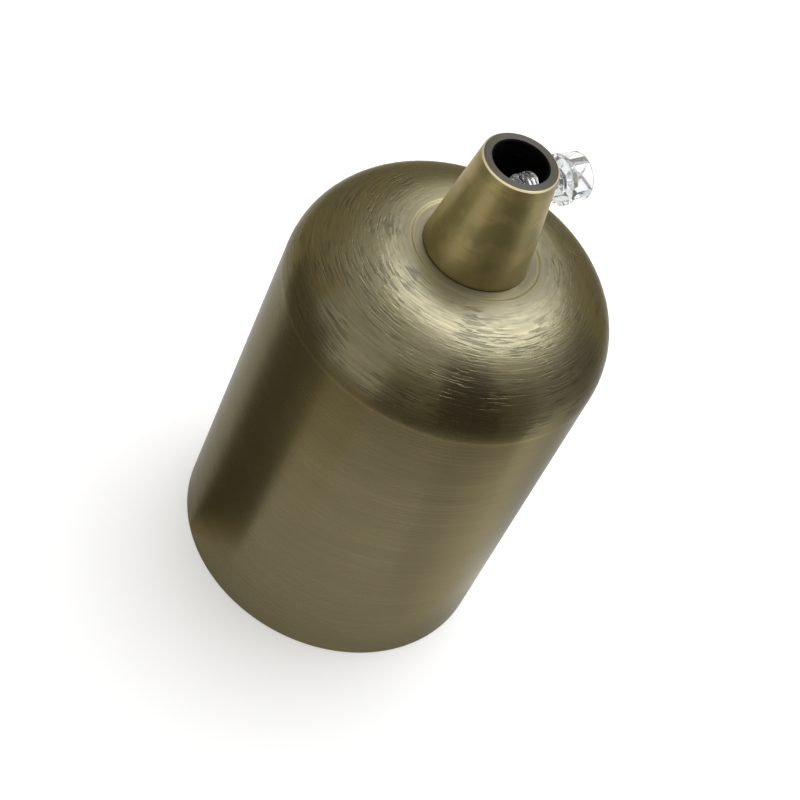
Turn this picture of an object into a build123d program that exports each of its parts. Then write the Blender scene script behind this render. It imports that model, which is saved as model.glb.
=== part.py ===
from build123d import *
import os
from math import cos, radians, sin

# Pendant lamp holder for E27 lamps. A drawn metal cup hangs from a turned cord
# grip and covers a porcelain socket. Z is the axis of the cup, the cup's open
# rim lies at Z 0, and the clear grip screw points along +X.

os.makedirs("parts", exist_ok=True)

# Cup, drawn from one sheet
cup_diameter = 46.0
cup_wall_height = 51.7
cup_sheet = 0.8
dome_height = 12.2
crown_flat = 0.5
recess_depth = 0.15
recess_margin = 1.2
recess_blend = 0.5
cup_rim_rounding = 0.25

# Cord grip cone, turned from bar
cone_base_diameter = 14.8
cone_top_diameter = 10.4
cone_height = 16.5
cone_thread_depth = 7.5
cone_edge_chamfer = 0.2
cable_bore_diameter = 7.5
cable_land_length = 2.3
cable_relief = 0.25

# Clear grip screw in the wall of the cone
grip_thread_diameter = 4.0
grip_axis_drop = 5.5
grip_point_diameter = 3.2
grip_point_length = 2.8
grip_tip_past_axis = 0.8
grip_thread_length = 6.5
grip_head_diameter = 6.8
grip_head_length = 3.5
grip_flange_thickness = 0.9
grip_rib_width = 1.0
grip_rim_wall = 0.55

# Threaded tube that carries the whole holder
tube_thread_diameter = 10.0
tube_bore_diameter = 8.0
tube_in_cone = 7.0
thread_clearance = 0.05
passing_clearance = 0.2
tube_edge_chamfer = 0.4

# Lock nut and toothed washer under the dome
lock_nut_across_flats = 14.0
lock_nut_height = 2.5
lock_washer_thickness = 0.7
lock_washer_ring_width = 1.5
lock_washer_tooth_length = 1.2
lock_washer_tooth_width = 1.1
lock_washer_teeth = 12

# Porcelain socket body
holder_recess = 10.0
holder_gap = 1.2
porcelain_height = 34.0
porcelain_web = 4.6
porcelain_edge = 1.2
channel_depth = 3.8
channel_wall = 1.4
channel_gap = 0.6

# Screw shell for the lamp's cap, E27
lamp_thread_diameter = 26.6
shell_sheet = 0.4
shell_gap = 0.3
shell_mouth_step = 2.6
shell_shoulder_height = 4.2
shell_shoulder_width = 2.3
shell_floor_hole_diameter = 13.0

# Bracket and its hub
bracket_sheet = 1.2
bracket_width = 12.0
bracket_eye_diameter = 17.0
bracket_height = 9.6
bracket_foot_margin = 0.8
bracket_bend_radius = 0.6
bracket_foot_corner = 3.0
hub_diameter = 14.0
hub_spigot_diameter = 12.0
hub_collar_height = 4.6
hub_lip = 0.8

# Long screws through the porcelain, with nuts on the bracket's feet
frame_thread_diameter = 3.0
frame_head_diameter = 5.0
frame_head_height = 1.8
frame_head_sink = 4.5
frame_screw_end = 0.9
frame_nut_across_flats = 5.5
frame_nut_height = 2.4
frame_nut_gap = 0.75
spring_washer_thickness = 0.7
spring_washer_gap = 0.8
fibre_washer_thickness = 0.5

# Terminals and their conductors
terminal_reach = 13.0
terminal_length = 6.6
terminal_width = 7.0
terminal_height = 8.0
terminal_stud_diameter = 2.4
wire_hole_diameter = 3.2
wire_hole_cover = 1.5
screw_hole_overrun = 0.5
terminal_thread_diameter = 3.5
terminal_head_diameter = 5.5
terminal_head_height = 2.0
terminal_head_lift = 0.3
strap_thickness = 0.8
live_strap_width = 6.0
neutral_strap_width = 14.0

# Earth terminal on the bracket
earth_reach = 9.6
earth_head_diameter = 6.4
earth_head_height = 2.1
earth_shank_length = 5.0
earth_plate_side = 7.2
earth_plate_thickness = 0.8
earth_plate_lip = 0.7

# Spring-loaded centre contact
plunger_head_diameter = 6.8
plunger_head_height = 1.5
plunger_stem_diameter = 3.0
plunger_travel = 2.0
plunger_stop_gap = 0.5
running_clearance = 0.06
guide_body_diameter = 6.8
guide_flange_diameter = 9.2
guide_flange_thickness = 0.6
guide_neck_diameter = 5.2
guide_head_diameter = 5.8
guide_head_thickness = 0.5
guide_end_wall = 1.0
spring_pocket_diameter = 5.8
spring_wire_diameter = 0.5
spring_gap = 0.25
spring_turns = 5
clip_diameter = 5.0
clip_thickness = 0.5

# Rivets that hold the screw shell
rivet_circle_radius = 9.6
rivet_angle = 35.0
rivet_shank_diameter = 2.2
rivet_head_diameter = 2.8
rivet_head_height = 0.6

# Slots in the screw heads
slot_share = 0.16
slot_depth_share = 0.5
grub_thread_diameter = 3.0
grub_length = 4.0
grub_angle = 225.0

# Levels and radii that follow from the sizes above
cup_radius = cup_diameter / 2
cup_inner_radius = cup_radius - cup_sheet
dome_top = cup_wall_height + dome_height
seat_level = dome_top - recess_depth
cone_top = seat_level + cone_height
cone_base_radius = cone_base_diameter / 2
cone_top_radius = cone_top_diameter / 2
recess_radius = cone_base_radius + recess_margin
recess_outer_radius = recess_radius + recess_blend
dome_start = recess_outer_radius + crown_flat
dome_width = cup_radius - dome_start
tube_radius = tube_thread_diameter / 2
tapped_radius = tube_radius + thread_clearance
washer_level = seat_level - cup_sheet - lock_washer_thickness
lock_nut_level = washer_level - lock_nut_height
porcelain_radius = cup_inner_radius - holder_gap
porcelain_top = holder_recess + porcelain_height
channel_floor = porcelain_top - channel_depth
ceiling_level = channel_floor - porcelain_web
shell_radius = lamp_thread_diameter / 2
cavity_radius = shell_radius + shell_sheet + shell_gap
shell_mouth = holder_recess + shell_mouth_step
shell_floor = ceiling_level - shell_sheet
shell_shoulder = shell_floor - shell_shoulder_height
frame_screw_reach = (cavity_radius + porcelain_radius) / 2
bracket_foot_reach = porcelain_radius - bracket_foot_margin
bracket_leg_reach = frame_screw_reach - frame_nut_across_flats / 2 - frame_nut_gap
bracket_top = porcelain_top + bracket_height
bracket_under = bracket_top - bracket_sheet
foot_top = porcelain_top + bracket_sheet
hub_bottom = bracket_under - hub_collar_height
tube_bottom = hub_bottom + hub_lip
tube_top = seat_level + tube_in_cone
strap_top = channel_floor + strap_thickness
terminal_top = strap_top + terminal_height
wire_level = terminal_top - wire_hole_cover - wire_hole_diameter / 2
wire_floor = wire_level - wire_hole_diameter / 2
guide_bottom = ceiling_level - guide_flange_thickness
guide_top = strap_top + guide_head_thickness
pocket_end = channel_floor - guide_end_wall
plunger_seat = guide_bottom - plunger_travel - plunger_stop_gap
plunger_face = plunger_seat - plunger_head_height
clip_level = guide_top + thread_clearance


def slotted_screw(seat, thread_diameter, shank_length, head_diameter, head_height):
    # The seat plane lies under the head and faces out of it
    slot_width = head_diameter * slot_share
    slot_depth = head_height * slot_depth_share
    with BuildPart() as screw:
        with BuildSketch(seat):
            Circle(head_diameter / 2)
        extrude(amount=head_height)
        chamfer(screw.edges().sort_by(Axis(seat.origin, seat.z_dir))[-1], head_height / 6)
        with BuildSketch(seat):
            Circle(thread_diameter / 2)
        extrude(amount=-shank_length)
        chamfer(screw.edges().sort_by(Axis(seat.origin, seat.z_dir))[0], thread_diameter / 10)
        with BuildSketch(seat.offset(head_height)):
            Rectangle(2 * head_diameter, slot_width)
        extrude(amount=-slot_depth, mode=Mode.SUBTRACT)
    return screw.part


def hex_nut(seat, across_flats, height, bore_radius):
    # The crown's corners are turned down by a shallow cone on both faces
    corner_radius = across_flats / 2 / cos(radians(30))
    bevel = (corner_radius - across_flats / 2) * 0.6
    with BuildPart() as nut:
        with BuildSketch(seat):
            RegularPolygon(across_flats / 2, 6, major_radius=False, rotation=30)
        extrude(amount=height)
        with BuildSketch(seat):
            Circle(corner_radius)
        extrude(amount=height, mode=Mode.INTERSECT)
        with BuildSketch(Plane(seat.origin, x_dir=seat.x_dir, z_dir=-seat.y_dir)):
            with BuildLine():
                Polyline(
                    (0, 0),
                    (corner_radius - bevel, 0),
                    (corner_radius, bevel * 0.6),
                    (corner_radius, height - bevel * 0.6),
                    (corner_radius - bevel, height),
                    (0, height),
                    close=True,
                )
            make_face()
        revolve(axis=Axis(seat.origin, seat.z_dir), mode=Mode.INTERSECT)
        with BuildSketch(seat):
            Circle(bore_radius)
        extrude(amount=height, mode=Mode.SUBTRACT)
    return nut.part


# Cup: straight wall, elliptical dome and a shallow dished seat round the hole
recess_middle = (recess_radius + recess_outer_radius) / 2
recess_step_middle = (dome_top + seat_level) / 2
cup_hole_radius = tube_radius + passing_clearance
with BuildPart() as cup:
    with BuildSketch(Plane.XZ):
        with BuildLine():
            Line((cup_inner_radius, 0), (cup_radius, 0))
            Line((cup_radius, 0), (cup_radius, cup_wall_height))
            EllipticalCenterArc((dome_start, cup_wall_height), dome_width, dome_height, arc_size=90)
            Line((dome_start, dome_top), (recess_outer_radius, dome_top))
            TangentArc((recess_outer_radius, dome_top), (recess_middle, recess_step_middle), tangent=(-1, 0))
            TangentArc((recess_radius, seat_level), (recess_middle, recess_step_middle), tangent=(1, 0))
            Polyline(
                (recess_radius, seat_level),
                (cup_hole_radius, seat_level),
                (cup_hole_radius, seat_level - cup_sheet),
                (recess_radius, seat_level - cup_sheet),
            )
            TangentArc(
                (recess_radius, seat_level - cup_sheet),
                (recess_middle, recess_step_middle - cup_sheet),
                tangent=(1, 0),
            )
            TangentArc(
                (recess_outer_radius, dome_top - cup_sheet),
                (recess_middle, recess_step_middle - cup_sheet),
                tangent=(-1, 0),
            )
            Line((recess_outer_radius, dome_top - cup_sheet), (dome_start, dome_top - cup_sheet))
            EllipticalCenterArc(
                (dome_start, cup_wall_height), dome_width - cup_sheet, dome_height - cup_sheet, arc_size=90
            )
            Line((cup_inner_radius, cup_wall_height), (cup_inner_radius, 0))
        make_face()
    revolve(axis=Axis.Z)
    fillet(cup.edges().group_by(Axis.Z)[0], cup_rim_rounding)
cup.part.label = "cup"
export_step(cup.part, "parts/cup.step")

# Cord grip cone: tapered outside, tapped below, with a relieved bore and a cable land above
cable_bore_radius = cable_bore_diameter / 2
relief_radius = cable_bore_radius + cable_relief
land_bottom = cone_top - cable_land_length
tapped_end = seat_level + cone_thread_depth
grip_level = cone_top - grip_axis_drop
grip_radius = grip_thread_diameter / 2
with BuildPart() as cord_grip_cone:
    with BuildSketch(Plane.XZ):
        with BuildLine():
            Polyline(
                (tapped_radius, seat_level),
                (cone_base_radius, seat_level),
                (cone_top_radius, cone_top),
                (cable_bore_radius, cone_top),
                (cable_bore_radius, land_bottom),
                (relief_radius, land_bottom - cable_relief),
                (relief_radius, tapped_end + tapped_radius - relief_radius),
                (tapped_radius, tapped_end),
                close=True,
            )
        make_face()
    revolve(axis=Axis.Z)
    cone_ends = cord_grip_cone.edges().group_by(Axis.Z)
    chamfer(cone_ends[0] + cone_ends[-1], cone_edge_chamfer)
    with BuildSketch(Plane.YZ.offset(relief_radius / 2)):
        with Locations((0, grip_level)):
            Circle(grip_radius + thread_clearance)
    extrude(amount=cone_base_radius, mode=Mode.SUBTRACT)
cord_grip_cone.part.label = "cord_grip_cone"
export_step(cord_grip_cone.part, "parts/cord_grip_cone.step")

# Clear grip screw: plain point, threaded shank and a moulded head with four pockets
grip_tip = -grip_tip_past_axis
grip_thread_start = grip_tip + grip_point_length
grip_flange = grip_thread_start + grip_thread_length
grip_head_end = grip_flange + grip_head_length
grip_head_radius = grip_head_diameter / 2
pocket_radius = grip_head_radius - grip_rim_wall
with BuildPart() as grip_screw:
    with BuildSketch(Plane.XZ):
        with BuildLine():
            Polyline(
                (grip_tip, grip_level),
                (grip_tip, grip_level + grip_point_diameter / 2 - grip_rim_wall / 2),
                (grip_tip + grip_rim_wall / 2, grip_level + grip_point_diameter / 2),
                (grip_thread_start, grip_level + grip_point_diameter / 2),
                (grip_thread_start, grip_level + grip_radius),
                (grip_flange, grip_level + grip_radius),
                (grip_flange, grip_level + grip_head_radius),
                (grip_head_end, grip_level + grip_head_radius),
                (grip_head_end, grip_level),
                close=True,
            )
        make_face()
    revolve(axis=Axis((0, 0, grip_level), (1, 0, 0)))
    fillet(grip_screw.edges().group_by(Axis.X)[-1], grip_rim_wall / 2)
    with BuildSketch(Plane.YZ.offset(grip_head_end)):
        with Locations((0, grip_level)):
            Circle(pocket_radius)
            Rectangle(2 * grip_head_radius, grip_rib_width, mode=Mode.SUBTRACT)
            Rectangle(grip_rib_width, 2 * grip_head_radius, mode=Mode.SUBTRACT)
    extrude(amount=-(grip_head_length - grip_flange_thickness), mode=Mode.SUBTRACT)
grip_screw.part.label = "grip_screw"
export_step(grip_screw.part, "parts/grip_screw.step")

# Threaded tube from the hub, through the dome, into the cone
with BuildPart() as threaded_tube:
    with BuildSketch(Plane.XY.offset(tube_bottom)):
        Circle(tube_radius)
        Circle(tube_bore_diameter / 2, mode=Mode.SUBTRACT)
    extrude(amount=tube_top - tube_bottom)
    tube_outside = threaded_tube.faces().filter_by(GeomType.CYLINDER).sort_by(SortBy.AREA)[-1]
    chamfer(tube_outside.edges(), tube_edge_chamfer)
threaded_tube.part.label = "threaded_tube"
export_step(threaded_tube.part, "parts/threaded_tube.step")

# Toothed washer and lock nut that clamp the cup from below
washer_ring_radius = tapped_radius + passing_clearance + lock_washer_ring_width
tooth_middle = washer_ring_radius + lock_washer_tooth_length / 2
with BuildPart() as toothed_washer:
    with BuildSketch(Plane.XY.offset(washer_level)):
        Circle(washer_ring_radius)
        with PolarLocations(tooth_middle, lock_washer_teeth):
            Rectangle(2 * lock_washer_tooth_length, lock_washer_tooth_width)
        Circle(tapped_radius + passing_clearance, mode=Mode.SUBTRACT)
    extrude(amount=lock_washer_thickness)
toothed_washer.part.label = "toothed_washer"
export_step(toothed_washer.part, "parts/toothed_washer.step")

lock_nut = hex_nut(Plane.XY.offset(lock_nut_level), lock_nut_across_flats, lock_nut_height, tapped_radius)
lock_nut.label = "lock_nut"
export_step(lock_nut, "parts/lock_nut.step")

# Bracket: one folded strap with two feet, a hub hole and an earth hole
earth_radius = terminal_thread_diameter / 2
with BuildPart() as bracket:
    with BuildSketch(Plane.YZ) as hat:
        with Locations((0, porcelain_top + bracket_height / 2)):
            Rectangle(2 * bracket_leg_reach, bracket_height)
        with Locations((0, porcelain_top + (bracket_height - bracket_sheet) / 2)):
            Rectangle(
                2 * (bracket_leg_reach - bracket_sheet), bracket_height - bracket_sheet, mode=Mode.SUBTRACT
            )
        for side in (-1, 1):
            foot_middle = side * (bracket_foot_reach + bracket_leg_reach - bracket_sheet) / 2
            with Locations((foot_middle, porcelain_top + bracket_sheet / 2)):
                Rectangle(bracket_foot_reach - bracket_leg_reach + bracket_sheet, bracket_sheet)
        levels = hat.vertices().group_by(Axis.Y)
        outer_corners = levels[-1] + levels[0].sort_by(Axis.X)[1:-1]
        inner_corners = levels[-2] + levels[1].sort_by(Axis.X)[1:-1]
        fillet(outer_corners, bracket_bend_radius + bracket_sheet * 0.9)
        fillet(inner_corners, bracket_bend_radius)
    extrude(amount=bracket_width / 2, both=True)
    foot_ends = bracket.edges().filter_by(Axis.Z).group_by(Axis.Y)
    fillet(foot_ends[0] + foot_ends[-1], bracket_foot_corner)
    with BuildSketch(Plane.XY.offset(bracket_top)):
        Circle(bracket_eye_diameter / 2)
    extrude(amount=-bracket_sheet)
    with BuildSketch(Plane.XY.offset(bracket_top)):
        Circle(hub_spigot_diameter / 2)
        with Locations((0, earth_reach)):
            Circle(earth_radius + thread_clearance)
    extrude(amount=-bracket_sheet, mode=Mode.SUBTRACT)
    with BuildSketch(Plane.XY.offset(foot_top)):
        with Locations((0, -frame_screw_reach), (0, frame_screw_reach)):
            Circle(frame_thread_diameter / 2 + passing_clearance)
    extrude(amount=-bracket_sheet, mode=Mode.SUBTRACT)
bracket.part.label = "bracket"
export_step(bracket.part, "parts/bracket.step")

# Hub: turned collar under the bracket, its spigot riveted into the strap
grub_level = (tube_bottom + bracket_under) / 2
grub_direction = (cos(radians(grub_angle)), sin(radians(grub_angle)), 0)
grub_plane = Plane((0, 0, grub_level), z_dir=grub_direction)
with BuildPart() as bracket_hub:
    with BuildSketch(Plane.XZ):
        with BuildLine():
            Polyline(
                (tube_bore_diameter / 2, hub_bottom),
                (hub_diameter / 2, hub_bottom),
                (hub_diameter / 2, bracket_under),
                (hub_spigot_diameter / 2, bracket_under),
                (hub_spigot_diameter / 2, bracket_top),
                (tapped_radius, bracket_top),
                (tapped_radius, tube_bottom),
                (tube_bore_diameter / 2, tube_bottom),
                close=True,
            )
        make_face()
    revolve(axis=Axis.Z)
    chamfer(bracket_hub.edges().group_by(Axis.Z)[0].sort_by(SortBy.LENGTH)[-1], tube_edge_chamfer)
    with BuildSketch(grub_plane.offset(tube_radius - thread_clearance)):
        Circle(grub_thread_diameter / 2 + thread_clearance)
    extrude(amount=hub_diameter / 2, mode=Mode.SUBTRACT)
bracket_hub.part.label = "bracket_hub"
export_step(bracket_hub.part, "parts/bracket_hub.step")

# Grub screw that locks the tube in the hub
grub_slot_width = grub_thread_diameter * slot_share * 1.5
with BuildPart() as grub_screw:
    with BuildSketch(grub_plane.offset(tapped_radius)):
        Circle(grub_thread_diameter / 2)
    extrude(amount=grub_length)
    with BuildSketch(grub_plane.offset(tapped_radius + grub_length)):
        Rectangle(2 * grub_thread_diameter, grub_slot_width)
    extrude(amount=-grub_thread_diameter / 3, mode=Mode.SUBTRACT)
grub_screw.part.label = "grub_screw"
export_step(grub_screw.part, "parts/grub_screw.step")

# Earth terminal: clamp plate with two turned-up lips, and its screw
plate_top = bracket_top + earth_plate_thickness
with BuildPart() as earth_plate:
    with BuildSketch(Plane.XY.offset(bracket_top)):
        with Locations((0, earth_reach)):
            RectangleRounded(earth_plate_side, earth_plate_side, earth_plate_side / 8)
            Circle(earth_radius + passing_clearance, mode=Mode.SUBTRACT)
    extrude(amount=earth_plate_thickness)
    with BuildSketch(Plane.XY.offset(plate_top)):
        for side in (-1, 1):
            with Locations((side * (earth_plate_side - earth_plate_lip) / 2, earth_reach)):
                Rectangle(earth_plate_lip / 2, earth_plate_side / 2)
    extrude(amount=earth_plate_lip)
earth_plate.part.label = "earth_plate"
export_step(earth_plate.part, "parts/earth_plate.step")

earth_seat = Plane((0, earth_reach, plate_top + thread_clearance))
earth_screw = slotted_screw(
    earth_seat, terminal_thread_diameter, earth_shank_length, earth_head_diameter - 2 * earth_plate_lip,
    earth_head_height,
)
earth_screw.label = "earth_screw"
export_step(earth_screw, "parts/earth_screw.step")

# Porcelain body: socket cavity below, conductor channels above
guide_hole_radius = guide_body_diameter / 2 + passing_clearance / 2
channel_half = terminal_width / 2 + channel_gap
live_channel_end = terminal_reach + terminal_length / 2 + channel_gap
live_channel_start = -(guide_body_diameter / 2 + channel_gap + channel_wall / 2)
neutral_channel_start = live_channel_start - channel_wall
rivet_x = -rivet_circle_radius * cos(radians(rivet_angle))
rivet_y = rivet_circle_radius * sin(radians(rivet_angle))
rivet_points = [(rivet_x, rivet_y), (rivet_x, -rivet_y)]
frame_points = [(0, frame_screw_reach), (0, -frame_screw_reach)]
with BuildPart() as porcelain_body:
    with BuildSketch(Plane.XZ) as body_profile:
        with BuildLine():
            Polyline(
                (0, ceiling_level),
                (cavity_radius, ceiling_level),
                (cavity_radius, holder_recess),
                (porcelain_radius, holder_recess),
                (porcelain_radius, porcelain_top),
                (0, porcelain_top),
                close=True,
            )
        make_face()
        outer_corners = body_profile.vertices().sort_by(Axis.X)[-2:]
        fillet(outer_corners, porcelain_edge)
    revolve(axis=Axis.Z)
    bottom_edges = porcelain_body.edges().filter_by(GeomType.CIRCLE).group_by(Axis.Z)[0]
    chamfer(bottom_edges.sort_by(SortBy.LENGTH)[0], porcelain_edge / 2)
    with BuildSketch(Plane.XY.offset(porcelain_top)):
        with Locations(((live_channel_end + live_channel_start) / 2, 0)):
            Rectangle(live_channel_end - live_channel_start, 2 * channel_half)
        with Locations(((neutral_channel_start - live_channel_end) / 2, 0)):
            Rectangle(live_channel_end + neutral_channel_start, neutral_strap_width + 2 * channel_gap)
    extrude(amount=-channel_depth, mode=Mode.SUBTRACT)
    with BuildSketch(Plane.XY.offset(porcelain_top)):
        Circle(guide_hole_radius)
        with Locations(*rivet_points):
            Circle(rivet_shank_diameter / 2 + passing_clearance)
    extrude(amount=-(porcelain_height / 2), mode=Mode.SUBTRACT)
    with BuildSketch(Plane.XY.offset(porcelain_top)):
        with Locations(*frame_points):
            Circle(frame_thread_diameter / 2 + passing_clearance)
    extrude(amount=-porcelain_height, mode=Mode.SUBTRACT)
    with BuildSketch(Plane.XY.offset(holder_recess)):
        with Locations(*frame_points):
            Circle(frame_head_diameter / 2 + passing_clearance)
    extrude(amount=frame_head_sink, mode=Mode.SUBTRACT)
porcelain_body.part.label = "porcelain_body"
export_step(porcelain_body.part, "parts/porcelain_body.step")

# Long frame screws, fibre washers below, split washers and nuts on the feet
fibre_level = holder_recess + frame_head_sink - fibre_washer_thickness
nut_level = foot_top + spring_washer_thickness
frame_shank = nut_level + frame_nut_height + frame_screw_end - fibre_level
washer_bore = frame_thread_diameter / 2 + passing_clearance / 2
for side, reach in (("left", frame_screw_reach), ("right", -frame_screw_reach)):
    head_plane = Plane((0, reach, fibre_level), x_dir=(1, 0, 0), z_dir=(0, 0, -1))
    frame_screw = slotted_screw(
        head_plane, frame_thread_diameter, frame_shank, frame_head_diameter, frame_head_height
    )
    frame_screw.label = f"frame_screw_{side}"
    export_step(frame_screw, f"parts/frame_screw_{side}.step")

    with BuildPart() as fibre_washer:
        with BuildSketch(Plane((0, reach, fibre_level))):
            Circle(frame_head_diameter / 2)
            Circle(washer_bore, mode=Mode.SUBTRACT)
        extrude(amount=fibre_washer_thickness)
    fibre_washer.part.label = f"fibre_washer_{side}"
    export_step(fibre_washer.part, f"parts/fibre_washer_{side}.step")

    with BuildPart() as spring_washer:
        with BuildSketch(Plane((0, reach, foot_top))):
            Circle(frame_head_diameter / 2)
            Circle(washer_bore, mode=Mode.SUBTRACT)
            with Locations((frame_head_diameter / 2, 0)):
                Rectangle(frame_head_diameter, spring_washer_gap, rotation=30, mode=Mode.SUBTRACT)
        extrude(amount=spring_washer_thickness)
    spring_washer.part.label = f"spring_washer_{side}"
    export_step(spring_washer.part, f"parts/spring_washer_{side}.step")

    frame_nut = hex_nut(
        Plane((0, reach, nut_level)), frame_nut_across_flats, frame_nut_height,
        frame_thread_diameter / 2 + thread_clearance,
    )
    frame_nut.label = f"frame_nut_{side}"
    export_step(frame_nut, f"parts/frame_nut_{side}.step")

# Screw shell: rolled cup with a turned-in floor, its wall at the thread's major size
floor_radius = shell_radius - shell_shoulder_width
with BuildPart() as screw_shell:
    with BuildSketch(Plane.XZ):
        with BuildLine():
            Polyline(
                (shell_radius, shell_mouth),
                (shell_radius, shell_shoulder),
                (floor_radius, shell_floor),
                (shell_floor_hole_diameter / 2, shell_floor),
                (shell_floor_hole_diameter / 2, ceiling_level),
                (floor_radius + shell_sheet / 2, ceiling_level),
                (shell_radius + shell_sheet, shell_shoulder + shell_sheet / 4),
                (shell_radius + shell_sheet, shell_mouth),
                close=True,
            )
        make_face()
    revolve(axis=Axis.Z)
    with BuildSketch(Plane.XY.offset(shell_floor)):
        with Locations(*rivet_points):
            Circle(rivet_shank_diameter / 2 + thread_clearance)
    extrude(amount=shell_sheet, mode=Mode.SUBTRACT)
screw_shell.part.label = "screw_shell"
export_step(screw_shell.part, "parts/screw_shell.step")

# Rivets from the shell's floor through the porcelain to the neutral strap
for side, point in zip(("left", "right"), rivet_points):
    with BuildPart() as shell_rivet:
        with BuildSketch(Plane((*point, shell_floor - rivet_head_height))):
            Circle(rivet_head_diameter / 2)
        extrude(amount=rivet_head_height)
        with BuildSketch(Plane((*point, shell_floor))):
            Circle(rivet_shank_diameter / 2)
        extrude(amount=strap_top - shell_floor)
        with BuildSketch(Plane((*point, strap_top))):
            Circle(rivet_head_diameter / 2)
        extrude(amount=rivet_head_height)
        rivet_edges = shell_rivet.edges().group_by(Axis.Z)
        chamfer(rivet_edges[0] + rivet_edges[-1], rivet_head_height / 3)
    shell_rivet.part.label = f"shell_rivet_{side}"
    export_step(shell_rivet.part, f"parts/shell_rivet_{side}.step")

# Conductor straps in the channels
strap_end = terminal_reach + terminal_length / 2
stud_radius = terminal_stud_diameter / 2
live_strap_start = -(guide_head_diameter / 2 + channel_gap / 2)
neutral_strap_start = neutral_channel_start - channel_gap / 2
with BuildPart() as live_strap:
    with BuildSketch(Plane.XY.offset(channel_floor)):
        with Locations(((strap_end + live_strap_start) / 2, 0)):
            RectangleRounded(strap_end - live_strap_start, live_strap_width, live_strap_width / 8)
        Circle(guide_neck_diameter / 2 + thread_clearance, mode=Mode.SUBTRACT)
        with Locations((terminal_reach, 0)):
            Circle(stud_radius + thread_clearance, mode=Mode.SUBTRACT)
    extrude(amount=strap_thickness)
live_strap.part.label = "live_strap"
export_step(live_strap.part, "parts/live_strap.step")

with BuildPart() as neutral_strap:
    with BuildSketch(Plane.XY.offset(channel_floor)):
        with Locations(((neutral_strap_start - strap_end) / 2, 0)):
            RectangleRounded(strap_end + neutral_strap_start, neutral_strap_width, live_strap_width / 8)
        with Locations(*rivet_points):
            Circle(rivet_shank_diameter / 2 + thread_clearance, mode=Mode.SUBTRACT)
        with Locations((-terminal_reach, 0)):
            Circle(stud_radius + thread_clearance, mode=Mode.SUBTRACT)
    extrude(amount=strap_thickness)
neutral_strap.part.label = "neutral_strap"
export_step(neutral_strap.part, "parts/neutral_strap.step")

# Pillar terminals and their screws, live at +X and neutral at -X
terminal_shank = terminal_top + terminal_head_lift - wire_floor - passing_clearance
for pole, reach in (("live", terminal_reach), ("neutral", -terminal_reach)):
    with BuildPart() as terminal:
        with BuildSketch(Plane((reach, 0, strap_top))):
            RectangleRounded(terminal_length, terminal_width, terminal_length / 12)
        extrude(amount=terminal_height)
        chamfer(terminal.edges().group_by(Axis.Z)[-1], terminal_length / 16)
        with BuildSketch(Plane((reach, 0, channel_floor))):
            Circle(stud_radius)
        extrude(amount=strap_thickness)
        with BuildSketch(Plane.YZ.offset(reach)):
            with Locations((0, wire_level)):
                Circle(wire_hole_diameter / 2)
        extrude(amount=terminal_length, both=True, mode=Mode.SUBTRACT)
        with BuildSketch(Plane((reach, 0, terminal_top))):
            Circle(terminal_thread_diameter / 2 + thread_clearance)
        extrude(amount=wire_floor - screw_hole_overrun - terminal_top, mode=Mode.SUBTRACT)
    terminal.part.label = f"{pole}_terminal"
    export_step(terminal.part, f"parts/{pole}_terminal.step")

    terminal_screw = slotted_screw(
        Plane((reach, 0, terminal_top + terminal_head_lift)), terminal_thread_diameter, terminal_shank,
        terminal_head_diameter, terminal_head_height,
    )
    terminal_screw.label = f"{pole}_terminal_screw"
    export_step(terminal_screw, f"parts/{pole}_terminal_screw.step")

# Contact guide: flanged bush with the spring's pocket, riveted to the live strap
stem_bore_radius = plunger_stem_diameter / 2 + running_clearance
with BuildPart() as contact_guide:
    with BuildSketch(Plane.XZ):
        with BuildLine():
            Polyline(
                (spring_pocket_diameter / 2, guide_bottom),
                (guide_flange_diameter / 2, guide_bottom),
                (guide_flange_diameter / 2, ceiling_level),
                (guide_body_diameter / 2, ceiling_level),
                (guide_body_diameter / 2, channel_floor),
                (guide_neck_diameter / 2, channel_floor),
                (guide_neck_diameter / 2, strap_top),
                (guide_head_diameter / 2, strap_top),
                (guide_head_diameter / 2, guide_top),
                (stem_bore_radius, guide_top),
                (stem_bore_radius, pocket_end),
                (spring_pocket_diameter / 2, pocket_end),
                close=True,
            )
        make_face()
    revolve(axis=Axis.Z)
contact_guide.part.label = "contact_guide"
export_step(contact_guide.part, "parts/contact_guide.step")

# Centre contact: domed plunger on a stem with a groove for its clip
stem_top = clip_level + clip_thickness + plunger_stem_diameter / 3
groove_radius = plunger_stem_diameter / 2 - clip_thickness / 2
with BuildPart() as contact_plunger:
    with BuildSketch(Plane.XZ) as plunger_profile:
        with BuildLine():
            ThreePointArc(
                (0, plunger_face),
                (plunger_head_diameter / 4, plunger_face + plunger_head_height * 0.12),
                (plunger_head_diameter / 2, plunger_face + plunger_head_height * 0.5),
            )
            Polyline(
                (plunger_head_diameter / 2, plunger_face + plunger_head_height * 0.5),
                (plunger_head_diameter / 2, plunger_seat),
                (plunger_stem_diameter / 2, plunger_seat),
                (plunger_stem_diameter / 2, clip_level),
                (groove_radius, clip_level),
                (groove_radius, clip_level + clip_thickness),
                (plunger_stem_diameter / 2, clip_level + clip_thickness),
                (plunger_stem_diameter / 2, stem_top),
                (0, stem_top),
                (0, plunger_face),
            )
        make_face()
    revolve(axis=Axis.Z)
contact_plunger.part.label = "contact_plunger"
export_step(contact_plunger.part, "parts/contact_plunger.step")

# Retaining clip in the plunger's groove
with BuildPart() as plunger_clip:
    with BuildSketch(Plane.XY.offset(clip_level)):
        Circle(clip_diameter / 2)
        Circle(groove_radius + thread_clearance, mode=Mode.SUBTRACT)
        with Locations((0, clip_diameter / 2)):
            Rectangle(groove_radius * 1.5, clip_diameter, mode=Mode.SUBTRACT)
    extrude(amount=clip_thickness)
plunger_clip.part.label = "plunger_clip"
export_step(plunger_clip.part, "parts/plunger_clip.step")

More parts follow.
